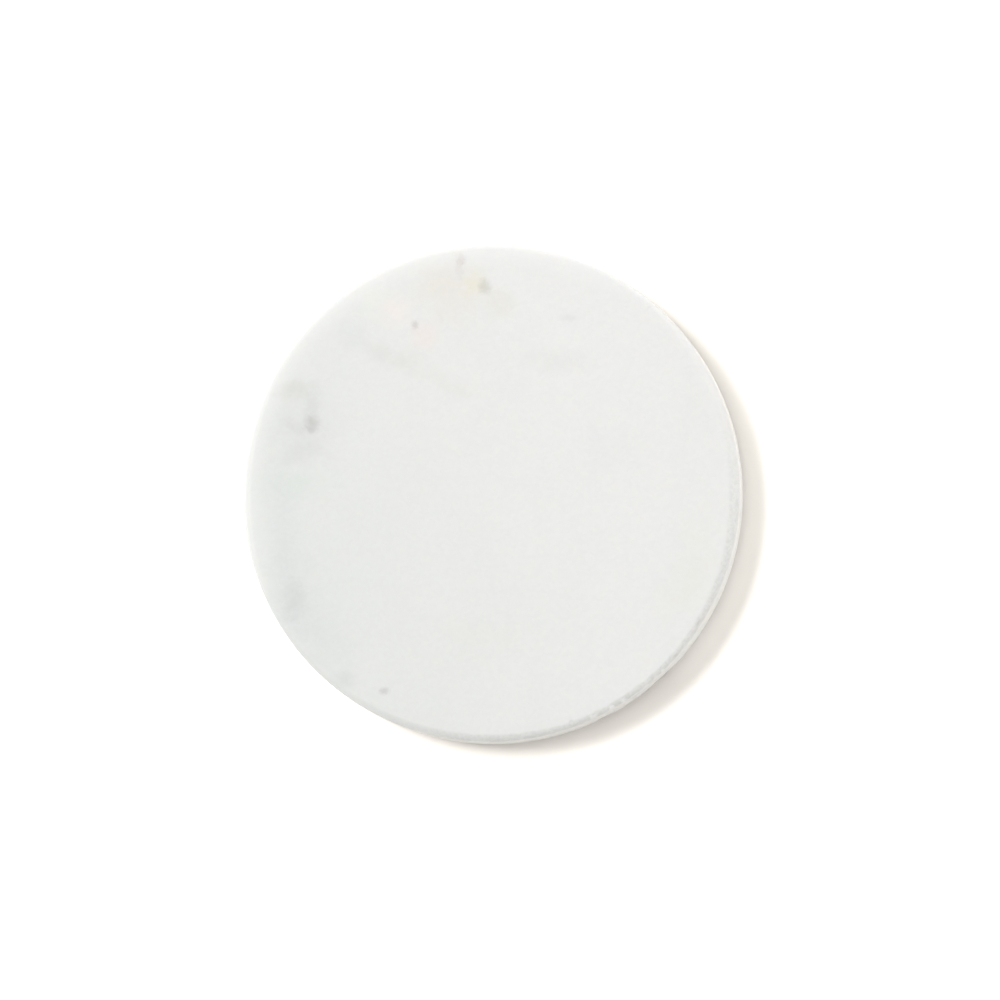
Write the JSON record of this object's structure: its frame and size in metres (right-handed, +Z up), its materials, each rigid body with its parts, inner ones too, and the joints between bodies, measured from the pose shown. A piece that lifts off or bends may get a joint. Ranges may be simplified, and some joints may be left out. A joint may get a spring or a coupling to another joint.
{
  "type": "drink coaster",
  "caption": "Round honed white marble drink coaster with a rounded top edge, standing on clear elastomer bumpers held by adhesive films.",
  "frame": {"origin": "centre of the surface that the coaster stands on, under the middle of the disc", "axes": "+Z up along the disc's own axis, towards the drink; +X towards the right of the picture and +Y towards its top"},
  "size_m": [0.1, 0.1, 0.0115],
  "materials": {
    "marble": "honed white marble with faint grey clouds, smooth but not glossy",
    "clear_bumper": "clear moulded elastomer, glossy",
    "adhesive": "clear pressure-sensitive film, slightly milky"
  },
  "bodies": {
    "root": {"stone_disc": "marble", "bumper_1": "clear_bumper", "bumper_2": "clear_bumper", "bumper_3": "clear_bumper", "bumper_4": "clear_bumper", "adhesive_1": "adhesive", "adhesive_2": "adhesive", "adhesive_3": "adhesive", "adhesive_4": "adhesive"}
  },
  "joints": []
}
